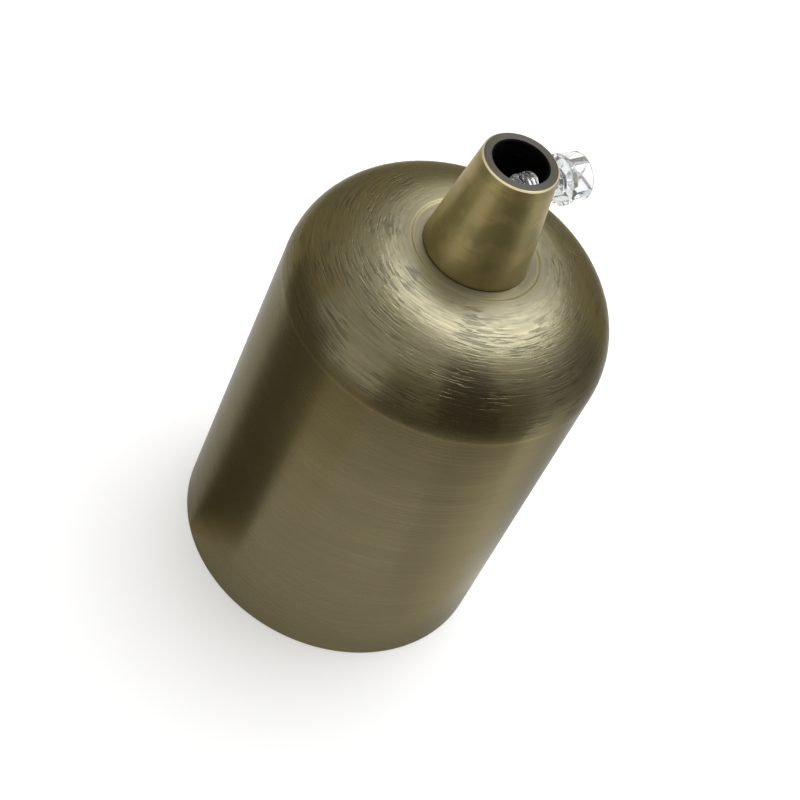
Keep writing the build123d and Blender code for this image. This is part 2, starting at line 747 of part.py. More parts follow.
# Contact spring between the plunger's head and the end of the pocket
spring_radius = spring_pocket_diameter / 2 - spring_gap - spring_wire_diameter / 2
spring_height = pocket_end - plunger_seat - spring_wire_diameter - 2 * thread_clearance
spring_base = plunger_seat + spring_wire_diameter / 2 + thread_clearance
with BuildPart() as contact_spring:
    with BuildLine(Plane.XY.offset(spring_base)) as coil:
        Helix(spring_height / spring_turns, spring_height, spring_radius)
    with BuildSketch(Plane(coil.line @ 0, z_dir=coil.line % 0)):
        Circle(spring_wire_diameter / 2)
    sweep(path=coil.line, is_frenet=True)
contact_spring.part.label = "contact_spring"
export_step(contact_spring.part, "parts/contact_spring.step")
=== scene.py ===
"""Pendant lamp holder: finishes, rolled and threaded pieces, and the studio it stands in."""

from math import atan2, cos, pi, radians, sin, tan

import bpy
from bpy.props import FloatProperty, FloatVectorProperty, IntProperty, PointerProperty
from mathutils import Euler, Matrix, Vector


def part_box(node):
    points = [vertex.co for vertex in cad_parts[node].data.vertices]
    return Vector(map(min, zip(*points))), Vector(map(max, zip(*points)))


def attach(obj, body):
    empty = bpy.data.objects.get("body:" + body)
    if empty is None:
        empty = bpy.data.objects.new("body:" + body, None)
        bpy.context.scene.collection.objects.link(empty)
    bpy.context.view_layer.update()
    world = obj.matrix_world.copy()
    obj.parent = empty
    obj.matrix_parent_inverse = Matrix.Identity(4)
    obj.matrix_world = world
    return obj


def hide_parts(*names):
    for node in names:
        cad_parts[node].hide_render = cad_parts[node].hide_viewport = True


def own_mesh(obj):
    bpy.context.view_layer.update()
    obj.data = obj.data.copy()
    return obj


bl_info = {
    "name": "Lamp Holder",
    "version": (1, 0, 0),
    "blender": (4, 5, 0),
    "location": "3D View > Sidebar > Lamp Holder",
    "description": "Finishes a pendant lamp holder and sets up its studio",
    "category": "Object",
}

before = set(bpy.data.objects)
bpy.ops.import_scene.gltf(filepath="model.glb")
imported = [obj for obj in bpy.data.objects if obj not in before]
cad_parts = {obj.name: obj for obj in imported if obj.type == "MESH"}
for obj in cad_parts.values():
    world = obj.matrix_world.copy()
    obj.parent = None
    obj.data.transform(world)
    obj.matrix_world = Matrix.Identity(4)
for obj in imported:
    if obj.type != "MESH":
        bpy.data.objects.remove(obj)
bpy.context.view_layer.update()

MM = 0.001
CUP_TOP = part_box("cup")[1].z
CONE_BASE, CONE_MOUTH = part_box("cord_grip_cone")
SHELL_LOW, SHELL_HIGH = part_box("screw_shell")
SCREW_LOW, SCREW_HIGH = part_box("grip_screw")
SPRING_LOW, SPRING_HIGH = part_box("contact_spring")
DOME_HEIGHT = 12.2 * MM


class HolderSizes(bpy.types.PropertyGroup):
    """Sizes of the pieces that are modelled here"""

    lamp_thread_pitch: FloatProperty(
        name="Lamp thread pitch", description="Rise of the screw shell's thread in one turn",
        default=3.629 * MM, unit="LENGTH",
    )
    lamp_thread_depth: FloatProperty(
        name="Lamp thread depth", description="Depth of the rolled thread, from crest to root",
        default=1.1 * MM, unit="LENGTH",
    )
    shell_sheet: FloatProperty(
        name="Shell sheet", description="Thickness of the rolled screw shell",
        default=0.4 * MM, unit="LENGTH",
    )
    shell_hole_radius: FloatProperty(
        name="Shell hole radius", description="Radius of the hole in the shell's floor",
        default=6.5 * MM, unit="LENGTH",
    )
    grip_thread_pitch: FloatProperty(
        name="Grip thread pitch", description="Rise of the grip screw's thread in one turn",
        default=0.7 * MM, unit="LENGTH",
    )
    grip_thread_depth: FloatProperty(
        name="Grip thread depth", description="Depth of the grip screw's thread",
        default=0.42 * MM, unit="LENGTH",
    )
    spring_wire: FloatProperty(
        name="Spring wire", description="Diameter of the contact spring's wire",
        default=0.5 * MM, unit="LENGTH",
    )
    spring_turns: FloatProperty(
        name="Spring turns", description="Turns of the contact spring, its closed ends included", default=6.5,
    )


class HolderFinishes(bpy.types.PropertyGroup):
    """Colours of the finishes"""

    bronze: FloatVectorProperty(
        name="Antique bronze", description="Brushed bronze tone of the cup", subtype="COLOR",
        default=(0.156, 0.131, 0.065),
    )
    cone_bronze: FloatVectorProperty(
        name="Cone bronze", description="Warmer bronze of the turned cord grip", subtype="COLOR",
        default=(0.350, 0.292, 0.130),
    )
    brass: FloatVectorProperty(
        name="Bare brass", description="Turned and stamped brass contacts", subtype="COLOR",
        default=(0.72, 0.50, 0.21),
    )
    zinc: FloatVectorProperty(
        name="Zinc plate", description="Zinc plated steel", subtype="COLOR", default=(0.55, 0.57, 0.60),
    )
    nickel: FloatVectorProperty(
        name="Nickel plate", description="Nickel plated sheet of the screw shell", subtype="COLOR",
        default=(0.66, 0.62, 0.55),
    )
    spring_steel: FloatVectorProperty(
        name="Spring steel", description="Bare spring steel", subtype="COLOR", default=(0.36, 0.36, 0.38),
    )
    porcelain: FloatVectorProperty(
        name="Porcelain", description="White glazed porcelain", subtype="COLOR", default=(0.83, 0.80, 0.73),
    )
    fibre: FloatVectorProperty(
        name="Fibre", description="Pressed red fibre", subtype="COLOR", default=(0.20, 0.045, 0.025),
    )


class HolderStage(bpy.types.PropertyGroup):
    """Camera and lights"""

    lens: FloatProperty(name="Lens", description="Focal length in millimetres", default=91.36)
    distance: FloatProperty(
        name="Distance", description="From the aimed point to the camera", default=289.93 * MM, unit="LENGTH",
    )
    aim_height: FloatProperty(
        name="Aim height", description="Height of the aimed point on the cup's axis", default=30 * MM,
        unit="LENGTH",
    )
    azimuth: FloatProperty(
        name="Azimuth", description="Direction of the camera from the axis, from +X", default=radians(-142.5),
        subtype="ANGLE",
    )
    elevation: FloatProperty(
        name="Elevation", description="Height of the camera above the horizon", default=radians(46.97),
        subtype="ANGLE",
    )
    roll: FloatProperty(
        name="Roll", description="Turn of the picture", default=radians(27.5), subtype="ANGLE",
    )
    aim_offset: FloatProperty(
        name="Aim offset", description="Small tilt and pan that frame the picture", default=radians(0.1535),
        subtype="ANGLE",
    )
    softbox_radiance: FloatProperty(
        name="Softbox", description="Brightness of the overhead softbox, where 1 is white", default=4.7,
    )
    fill: FloatProperty(name="Fill", description="Light of the room on every surface", default=0.42)
    circle_steps: IntProperty(name="Circle steps", description="Sides of the turned pieces", default=96)


def start_mesh(name):
    """Names the active new object, puts its place into its mesh and opens it in edit mode."""
    made = bpy.context.object
    made.name = name
    made.data.name = name
    apply_place(made)
    bpy.ops.object.mode_set(mode="EDIT")
    return made


def deselect_all():
    """Leaves edit mode and selects nothing, so that the next operator acts on the new object alone."""
    if bpy.context.object and bpy.context.object.mode != "OBJECT":
        bpy.ops.object.mode_set(mode="OBJECT")
    bpy.ops.object.select_all(action="DESELECT")


def make_active(made):
    """Selects one object alone."""
    deselect_all()
    made.select_set(True)
    bpy.context.view_layer.objects.active = made


def apply_place(made):
    """Puts the object's place into its mesh and leaves the object at the origin."""
    make_active(made)
    bpy.ops.object.transform_apply(location=True, rotation=True, scale=True)


def apply_modifier(made, modifier):
    """Applies one modifier to its mesh."""
    make_active(made)
    bpy.ops.object.modifier_apply(modifier=modifier.name)


def clean_mesh(made, gap=0.002 * MM):
    """Merges doubled points and turns every face outwards."""
    make_active(made)
    bpy.ops.object.mode_set(mode="EDIT")
    bpy.ops.mesh.select_all(action="SELECT")
    bpy.ops.mesh.remove_doubles(threshold=gap)
    bpy.ops.mesh.normals_make_consistent(inside=False)
    bpy.ops.object.mode_set(mode="OBJECT")


def smooth(made, angle=radians(35)):
    """Shades the piece smooth up to the given angle."""
    make_active(made)
    bpy.ops.object.shade_smooth_by_angle(angle=angle)


def extrude(shift):
    """Extrudes what is selected and moves it."""
    bpy.ops.mesh.extrude_region_move(TRANSFORM_OT_translate={"value": shift})


def extrude_ring(rise, scale):
    """Extrudes the selected ring upwards and then scales it about the axis."""
    extrude((0, 0, rise))
    bpy.ops.transform.resize(value=(scale, scale, 1))


def subtract(made, cutter):
    """Cuts one piece out of another and removes the cutter."""
    cut = made.modifiers.new("cut", "BOOLEAN")
    cut.operation = "DIFFERENCE"
    cut.solver = "EXACT"
    cut.object = cutter
    apply_modifier(made, cut)
    bpy.data.objects.remove(cutter)


def add_node(tree, kind, **values):
    """Adds a node and sets its properties."""
    node = tree.nodes.new(kind)
    for name, value in values.items():
        setattr(node, name, value)
    return node


def feed(tree, value, socket):
    """Links a socket to another one, or sets its value."""
    if isinstance(value, bpy.types.NodeSocket):
        tree.links.new(value, socket)
    else:
        socket.default_value = value


def set_shader(tree, shader, **values):
    """Feeds the shader's sockets, named with _ for each space."""
    for name, value in values.items():
        feed(tree, value, shader.inputs[name.replace("_", " ")])


def calculate(tree, operation, *values):
    """Adds a Math node whose inputs are numbers or sockets, and returns its output."""
    node = add_node(tree, "ShaderNodeMath", operation=operation)
    for place, value in enumerate(values):
        feed(tree, value, node.inputs[place])
    return node.outputs[0]


def times(tree, first, second):
    """Multiplies two values."""
    return calculate(tree, "MULTIPLY", first, second)


def combine(tree, operation, *vectors, scale=None):
    """Adds a Vector Math node and returns its vector, or its number where it gives one."""
    node = add_node(tree, "ShaderNodeVectorMath", operation=operation)
    for place, vector in enumerate(vectors):
        feed(tree, vector, node.inputs[place])
    if scale is not None:
        feed(tree, scale, node.inputs["Scale"])
    return node.outputs["Value" if operation in ("LENGTH", "DOT_PRODUCT") else "Vector"]


def split(tree, vector):
    """Gives the X, Y and Z of a vector by name."""
    node = add_node(tree, "ShaderNodeSeparateXYZ")
    feed(tree, vector, node.inputs[0])
    return node.outputs


def flatten(tree, vector):
    """Drops the Z of a vector."""
    return combine(tree, "MULTIPLY", vector, (1, 1, 0))


def reach_round_z(tree, vector):
    """Distance from the Z axis."""
    return combine(tree, "LENGTH", flatten(tree, vector))


def spread(tree, value, low, high, to_low=0.0, to_high=1.0):
    """Maps a range of a value to another range, smoothly and clamped."""
    node = add_node(tree, "ShaderNodeMapRange", interpolation_type="SMOOTHSTEP")
    for place, number in enumerate((value, low, high, to_low, to_high)):
        feed(tree, number, node.inputs[place])
    return node.outputs[0]


def add_up(tree, base, *weighted):
    """Adds values to a base, each times its weight."""
    for value, weight in weighted:
        base = calculate(tree, "MULTIPLY_ADD", value, weight, base)
    return base


def from_middle(tree, value):
    """Moves a value of 0 to 1 so that its middle is 0."""
    return calculate(tree, "SUBTRACT", value, 0.5)


def blend_colours(tree, share, first, second, mode="MIX"):
    """Mixes two colours, given as sockets or as values, by a share."""
    node = add_node(tree, "ShaderNodeMix", data_type="RGBA", blend_type=mode)
    feed(tree, share, node.inputs[0])
    for place, colour in ((6, first), (7, second)):
        if not isinstance(colour, bpy.types.NodeSocket):
            colour = (*colour[:3], 1.0)
        feed(tree, colour, node.inputs[place])
    return node.outputs[2]


def noise(tree, vector, scale=1.0, detail=2.0, roughness=0.5):
    """Adds a noise texture and returns its value."""
    node = add_node(tree, "ShaderNodeTexNoise", noise_dimensions="3D")
    for name, value in (("Vector", vector), ("Scale", scale), ("Detail", detail), ("Roughness", roughness)):
        feed(tree, value, node.inputs[name])
    return node.outputs["Fac"]


def ridge_line(tree, value, middle, half_width):
    """1 where a value is at the middle, falling to 0 at half a width on either side."""
    off = calculate(tree, "ABSOLUTE", calculate(tree, "SUBTRACT", value, middle))
    return spread(tree, off, 0.0, half_width, 1.0, 0.0)


def new_group(name, inputs, outputs):
    """Starts a shader node group with named inputs and outputs."""
    tree = bpy.data.node_groups.new(name, "ShaderNodeTree")
    for label, kind, value in inputs:
        made = tree.interface.new_socket(name=label, in_out="INPUT", socket_type=kind)
        if value is not None:
            made.default_value = value
    for label in outputs:
        tree.interface.new_socket(name=label, in_out="OUTPUT", socket_type="NodeSocketFloat")
    start = tree.nodes.new("NodeGroupInput")
    end = tree.nodes.new("NodeGroupOutput")
    return tree, start, end


def turned_marks(name):
    """Marks that run round an axis: fine lines, sparse short strokes and broad bands."""
    inputs = [
        ("Vector", "NodeSocketVector", None),
        ("Around", "NodeSocketFloat", 3.0),
        ("Pitch", "NodeSocketFloat", 0.1 * MM),
    ]
    # Each kind of mark: its frequency round the axis, its frequency across, and its detail.
    kinds = {"Lines": (1.0, 1.0, 3.0), "Strokes": (1.3, 0.75, 1.5), "Bands": (0.25, 0.06, 2.0)}
    tree, start, end = new_group(name, inputs, kinds)
    vector = start.outputs["Vector"]
    flat = flatten(tree, vector)
    heading = combine(tree, "NORMALIZE", flat)
    run = calculate(tree, "SUBTRACT", combine(tree, "LENGTH", flat), split(tree, vector)["Z"])
    line = calculate(tree, "DIVIDE", run, start.outputs["Pitch"])
    for label, (around, across, detail) in kinds.items():
        share = times(tree, start.outputs["Around"], around)
        lift = add_node(tree, "ShaderNodeCombineXYZ")
        feed(tree, times(tree, line, across), lift.inputs["Z"])
        place = combine(tree, "ADD", combine(tree, "SCALE", heading, scale=share), lift.outputs[0])
        feed(tree, noise(tree, place, detail=detail, roughness=0.6), end.inputs[label])
    return tree


def sheet_grain(name):
    """Straight rolling grain along X, with a broad mottle."""
    inputs = [
        ("Vector", "NodeSocketVector", None),
        ("Length", "NodeSocketFloat", 4 * MM),
        ("Width", "NodeSocketFloat", 0.1 * MM),
    ]
    tree, start, end = new_group(name, inputs, ("Lines", "Mottle"))
    vector = start.outputs["Vector"]
    parts = split(tree, vector)
    grain = add_node(tree, "ShaderNodeCombineXYZ")
    for axis, size in (("X", "Length"), ("Y", "Width"), ("Z", "Width")):
        feed(tree, calculate(tree, "DIVIDE", parts[axis], start.outputs[size]), grain.inputs[axis])
    feed(tree, noise(tree, grain.outputs[0], detail=3.0, roughness=0.6), end.inputs["Lines"])
    feed(tree, noise(tree, vector, scale=450.0, detail=3.0), end.inputs["Mottle"])
    return tree


def thread_wave(name):
    """Height of a fine screw thread round Z, 0 in the root and 1 on the crest."""
    inputs = [("Vector", "NodeSocketVector", None), ("Pitch", "NodeSocketFloat", 1 * MM)]
    tree, start, end = new_group(name, inputs, ("Height",))
    parts = split(tree, start.outputs["Vector"])
    turns = calculate(tree, "DIVIDE", calculate(tree, "ARCTAN2", parts["Y"], parts["X"]), 2 * pi)
    rise = calculate(tree, "DIVIDE", parts["Z"], start.outputs["Pitch"])
    ridge = calculate(tree, "PINGPONG", calculate(tree, "SUBTRACT", rise, turns), 0.5)
    feed(tree, spread(tree, ridge, 0.06, 0.44), end.inputs["Height"])
    return tree


def use_group(tree, make_group, vector, **values):
    """Places a node group on a vector, with its values. The group is made at its first use."""
    name = make_group.__name__
    group = bpy.data.node_groups.get(name) or make_group(name)
    node = add_node(tree, "ShaderNodeGroup", node_tree=group)
    feed(tree, vector, node.inputs["Vector"])
    for label, value in values.items():
        feed(tree, value, node.inputs[label])
    return node.outputs


def new_material(name, centre=(0, 0, 0), turn=(0, 0, 0)):
    """Starts a material. Returns it, its tree, its shader and Object coordinates centred on the piece."""
    material = bpy.data.materials.new(name)
    material.use_nodes = True
    tree = material.node_tree
    place = add_node(tree, "ShaderNodeTexCoord")
    mapping = add_node(tree, "ShaderNodeMapping", vector_type="TEXTURE")
    feed(tree, place.outputs["Object"], mapping.inputs["Vector"])
    feed(tree, centre, mapping.inputs["Location"])
    feed(tree, turn, mapping.inputs["Rotation"])
    return material, tree, tree.nodes["Principled BSDF"], mapping.outputs[0]


def add_bump(tree, shader, height, depth):
    """Raises the surface by a height of 0 to 1 times a depth in metres."""
    bump = add_node(tree, "ShaderNodeBump")
    feed(tree, 1.0, bump.inputs["Strength"])
    feed(tree, depth, bump.inputs["Distance"])
    feed(tree, height, bump.inputs["Height"])
    feed(tree, bump.outputs[0], shader.inputs["Normal"])


def brush_round(tree, shader, amount):
    """Stretches the gloss across marks that run round Z."""
    tangent = add_node(tree, "ShaderNodeTangent", direction_type="RADIAL", axis="Z")
    set_shader(tree, shader, Anisotropic=amount, Anisotropic_Rotation=0.25, Tangent=tangent.outputs[0])


def surface_normal(tree):
    """Normal of the surface in the piece's own axes."""
    return tree.nodes["Texture Coordinate"].outputs["Normal"]


def outward_share(tree, vector, middle):
    """1 where the surface faces away from a point on the axis, 0 where it faces it."""
    away = combine(tree, "SUBTRACT", vector, middle)
    facing = combine(tree, "DOT_PRODUCT", away, surface_normal(tree))
    return spread(tree, facing, -0.2 * MM, 0.2 * MM)


def cup_bronze(finishes):
    """Antique bronze of the cup: fine lines on the wall, strokes and arcs on the dome, clear lacquer, and
    painted highlight lines round the cone's seat and along the top of the wall.
    """
    material, tree, shader, vector = new_material("cup_bronze")
    level = split(tree, vector)["Z"]
    reach = reach_round_z(tree, vector)
    wall_top = CUP_TOP - DOME_HEIGHT
    on_dome = spread(tree, level, wall_top + 0.3 * MM, wall_top + 2.8 * MM)
    off_seat = spread(tree, reach, 9.0 * MM, 11.5 * MM)
    near_seat = spread(tree, reach, 10.5 * MM, 14.0 * MM, 1.0, 0.0)
    # Painted highlights: a bright ring round the cone's seat and a bright line where the wall meets the dome.
    seat_highlight_ring = ridge_line(tree, reach, 8.85 * MM, 0.45 * MM)
    wall_top_highlight = ridge_line(tree, level, wall_top + 0.1 * MM, 0.45 * MM)
    rubbed = times(tree, on_dome, off_seat)
    outside = outward_share(tree, vector, (0, 0, 30 * MM))

    coarse = use_group(tree, turned_marks, vector, Around=4.2, Pitch=0.26 * MM)
    fine = use_group(tree, turned_marks, vector, Around=1.2, Pitch=0.11 * MM)
    broad = use_group(tree, turned_marks, vector, Around=7.0, Pitch=0.9 * MM)
    long = use_group(tree, turned_marks, vector, Around=2.2, Pitch=0.34 * MM)
    clusters = spread(tree, noise(tree, vector, scale=170.0), 0.40, 0.60, 0.15, 1.0)
    strokes = times(tree, spread(tree, coarse["Strokes"], 0.49, 0.64), clusters)
    strokes = times(tree, strokes, rubbed)
    patches = times(tree, from_middle(tree, broad["Lines"]), rubbed)
    arcs = times(tree, from_middle(tree, long["Lines"]), rubbed)
    lines = from_middle(tree, fine["Lines"])
    bands = from_middle(tree, coarse["Bands"])
    tone = add_up(tree, 0.5, (strokes, -0.75), (lines, 0.6), (patches, 0.5), (arcs, 1.1), (bands, 0.3))
    height = add_up(tree, 0.0, (strokes, -0.8), (lines, 0.1), (patches, 1.2), (arcs, 0.7))

    bronze = Vector(finishes.bronze)
    # Colour of the painted highlight lines.
    painted_highlight = bronze * 2.2
    worn = blend_colours(tree, tone, bronze * 0.62, bronze * 1.42)
    paler = blend_colours(tree, 1.0, worn, (0.97, 1.0, 1.06), mode="MULTIPLY")
    worn = blend_colours(tree, on_dome, worn, paler)
    # Paint the highlight ring at the seat and the highlight line at the top of the wall.
    worn = blend_colours(tree, times(tree, seat_highlight_ring, 0.7), worn, painted_highlight)
    worn = blend_colours(tree, times(tree, wall_top_highlight, 0.3), worn, painted_highlight)
    brass = Vector(finishes.brass)
    inner = blend_colours(tree, fine["Bands"], brass * 0.45, brass * 0.7)
    gloss = spread(tree, tone, 0.1, 0.9, 0.34, 0.23)
    set_shader(
        tree, shader,
        Base_Color=blend_colours(tree, outside, inner, worn),
        Roughness=add_up(tree, gloss, (near_seat, 0.14), (seat_highlight_ring, 0.12)),
        Metallic=1.0,
        Specular_Tint=(0.40, 0.38, 0.33, 1),
        Coat_Weight=0.35,
        Coat_Roughness=0.3,
    )
    brush_round(tree, shader, 0.6)
    add_bump(tree, shader, height, 0.032 * MM)
    return material


def cone_bronze(finishes):
    """Warmer turned bronze of the cord grip, with a flat dull mouth, a painted highlight along the mouth's
    outer edge, painted shade towards the foot, and the bore painted near black as painted shade.
    """
    material, tree, shader, vector = new_material("cone_bronze")
    level = split(tree, vector)["Z"]
    marks = use_group(tree, turned_marks, vector, Around=1.0, Pitch=0.12 * MM)
    side = combine(tree, "DOT_PRODUCT", flatten(tree, vector), surface_normal(tree))
    on_wall = spread(tree, side, 0.2 * MM, 1 * MM)
    # Painted shade: the bore's wall is coloured near black, standing in for the shade deep in the hole.
    painted_bore_shade = spread(tree, side, -1 * MM, -0.2 * MM, 1.0, 0.0)
    rim_low = CONE_MOUTH.z - 2.2 * MM
    near_rim = spread(tree, level, rim_low, rim_low + 0.2 * MM)
    # Painted highlight: a light band along the mouth's outer edge.
    painted_rim_highlight = spread(tree, level, CONE_MOUTH.z - 0.26 * MM, CONE_MOUTH.z - 0.12 * MM)
    # Painted shade: darker towards the foot, where the cone meets the dome.
    painted_foot_shade = spread(tree, level, CONE_BASE.z + 1.0 * MM, CONE_BASE.z + 4.0 * MM, 0.4, 0.0)
    tarnish = spread(tree, noise(tree, vector, scale=300.0, detail=3.0), 0.42, 0.60, 0.0, 0.65)

    bronze = Vector(finishes.cone_bronze)
    contrast = add_up(tree, 0.9, (near_rim, 2.2))
    tone = calculate(tree, "MULTIPLY_ADD", from_middle(tree, marks["Lines"]), contrast, 0.5)
    wall = blend_colours(tree, tone, bronze * 0.85, bronze * 1.45)
    wall = blend_colours(tree, times(tree, marks["Bands"], 0.35), wall, (0.30, 0.20, 0.09))
    wall = blend_colours(tree, tarnish, wall, (0.25, 0.225, 0.092))
    wall = blend_colours(tree, painted_foot_shade, wall, (0.20, 0.155, 0.055))
    wall = blend_colours(tree, painted_rim_highlight, wall, (0.62, 0.54, 0.32))
    face = blend_colours(tree, marks["Lines"], (0.046, 0.042, 0.033), (0.098, 0.088, 0.069))
    colour = blend_colours(tree, on_wall, face, wall)
    set_shader(
        tree, shader,
        Base_Color=blend_colours(tree, painted_bore_shade, colour, (0.006, 0.0055, 0.005)),
        Roughness=add_up(tree, 0.60, (on_wall, -0.18)),
        Metallic=add_up(tree, 1.0, (on_wall, -0.2)),
    )
    brush_round(tree, shader, 0.5)
    ridges = add_up(tree, 1.2, (near_rim, 4.0))
    add_bump(tree, shader, times(tree, marks["Lines"], ridges), 0.006 * MM)
    return material


def turned_metal(name, node, colour, rough=0.3, pitch=0.08 * MM, thread_pitch=None, thread_radius=None):
    """Turned metal with marks round the piece's own upright axis, and a thread where it has one."""
    low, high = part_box(node)
    material, tree, shader, vector = new_material(name, (low + high) / 2)
    marks = use_group(tree, turned_marks, vector, Around=1.5, Pitch=pitch)
    tone = calculate(tree, "ADD", marks["Lines"], add_up(tree, -0.3, (marks["Bands"], 0.6)))
    base = Vector(colour)
    set_shader(
        tree, shader,
        Base_Color=blend_colours(tree, tone, base * 0.72, base * 1.18),
        Roughness=spread(tree, marks["Bands"], 0.2, 0.8, rough + 0.1, rough - 0.06),
        Metallic=1.0,
    )
    if thread_pitch:
        wave = use_group(tree, thread_wave, vector, Pitch=thread_pitch)
        reach = reach_round_z(tree, vector)
        on_shank = spread(tree, reach, thread_radius + 0.02 * MM, thread_radius + 0.08 * MM, 1.0, 0.0)
        add_bump(tree, shader, times(tree, wave["Height"], on_shank), thread_pitch * 0.6)
    else:
        add_bump(tree, shader, marks["Lines"], 0.004 * MM)
    return material


def sheet_metal(name, colour, rough=0.34, turn=(0, 0, 0)):
    """Stamped sheet with straight rolling grain."""
    material, tree, shader, vector = new_material(name, turn=turn)
    grain = use_group(tree, sheet_grain, vector, Length=3.5 * MM, Width=0.09 * MM)
    tone = add_up(tree, 0.0, (grain["Mottle"], 0.4), (grain["Lines"], 0.6))
    base = Vector(colour)
    set_shader(
        tree, shader,
        Base_Color=blend_colours(tree, tone, base * 0.7, base * 1.2),
        Roughness=spread(tree, grain["Mottle"], 0.3, 0.7, rough + 0.1, rough - 0.06),
        Metallic=1.0,
    )
    add_bump(tree, shader, grain["Lines"], 0.004 * MM)
    return material


def glazed_porcelain(finishes):
    """White glaze with faint specks, dull where the foot ring is bare."""
    material, tree, shader, vector = new_material("glazed_porcelain")
    cloud = noise(tree, vector, scale=160.0, detail=3.0)
    specks = spread(tree, noise(tree, vector, scale=2600.0, detail=1.0), 0.70, 0.76)
    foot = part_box("porcelain_body")[0].z
    bare = spread(tree, split(tree, vector)["Z"], foot + 0.15 * MM, foot + 0.45 * MM, 1.0, 0.0)
    base = Vector(finishes.porcelain)
    glaze = blend_colours(tree, cloud, base * 0.94, base * 1.05)
    glaze = blend_colours(tree, times(tree, specks, 0.35), glaze, (0.35, 0.30, 0.24))
    set_shader(
        tree, shader,
        Base_Color=blend_colours(tree, bare, glaze, base * 0.88),
        Roughness=add_up(tree, 0.12, (bare, 0.55)),
    )
    add_bump(tree, shader, cloud, 0.06 * MM)
    return material


def pressed_fibre(finishes):
    """Dull red fibre with flecks."""
    material, tree, shader, vector = new_material("pressed_fibre")
    flecks = noise(tree, vector, scale=4200.0, detail=3.0, roughness=0.7)
    base = Vector(finishes.fibre)
    set_shader(
        tree, shader,
        Base_Color=blend_colours(tree, flecks, base * 0.6, base * 1.5),
        Roughness=spread(tree, flecks, 0.3, 0.7, 0.9, 0.7),
    )
    add_bump(tree, shader, flecks, 0.03 * MM)
    return material


def clear_plastic():
    """Clear moulded plastic, faintly milky, with a flow pattern."""
    centre = (0, 0, (SCREW_LOW.z + SCREW_HIGH.z) / 2)
    material, tree, shader, vector = new_material("clear_plastic", centre)
    flow = noise(tree, vector, scale=900.0)
    set_shader(
        tree, shader,
        Base_Color=blend_colours(tree, flow, (0.88, 0.90, 0.90), (0.95, 0.96, 0.96)),
        Roughness=spread(tree, flow, 0.35, 0.7, 0.03, 0.07),
        Transmission_Weight=0.93,
        IOR=1.5,
    )
    add_bump(tree, shader, flow, 0.002 * MM)
    return material


def wire_steel(finishes):
    """Drawn spring wire."""
    material, tree, shader, vector = new_material("wire_steel")
    streaks = noise(tree, vector, scale=2200.0, detail=3.0)
    base = Vector(finishes.spring_steel)
    set_shader(
        tree, shader,
        Base_Color=blend_colours(tree, streaks, base * 0.7, base * 1.3),
        Roughness=spread(tree, streaks, 0.3, 0.7, 0.36, 0.24),
        Metallic=1.0,
    )
    return material


def dress(node, material):
    """Gives a CAD node its material."""
    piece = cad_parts[node]
    if not piece.material_slots:
        piece.data.materials.append(material)
    for slot in piece.material_slots:
        slot.material = material


def finish_piece(piece, material, body, slot, *nodes):
    """Gives a new piece its material and body, in place of CAD nodes. The slot is not used."""
    piece.data.materials.clear()
    piece.data.materials.append(material)
    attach(piece, body)
    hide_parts(*nodes)


class HOLDER_OT_cup(bpy.types.Operator):
    """Give the drawn cup its brushed antique bronze"""

    bl_idname = "holder.cup"
    bl_label = "Cup"

    def execute(self, context):
        dress("cup", cup_bronze(context.scene.holder_finishes))
        return {"FINISHED"}


class HOLDER_OT_cord_grip(bpy.types.Operator):
    """Give the turned cord grip its warmer bronze"""

    bl_idname = "holder.cord_grip"
    bl_label = "Cord Grip"

    def execute(self, context):
        dress("cord_grip_cone", cone_bronze(context.scene.holder_finishes))
        return {"FINISHED"}


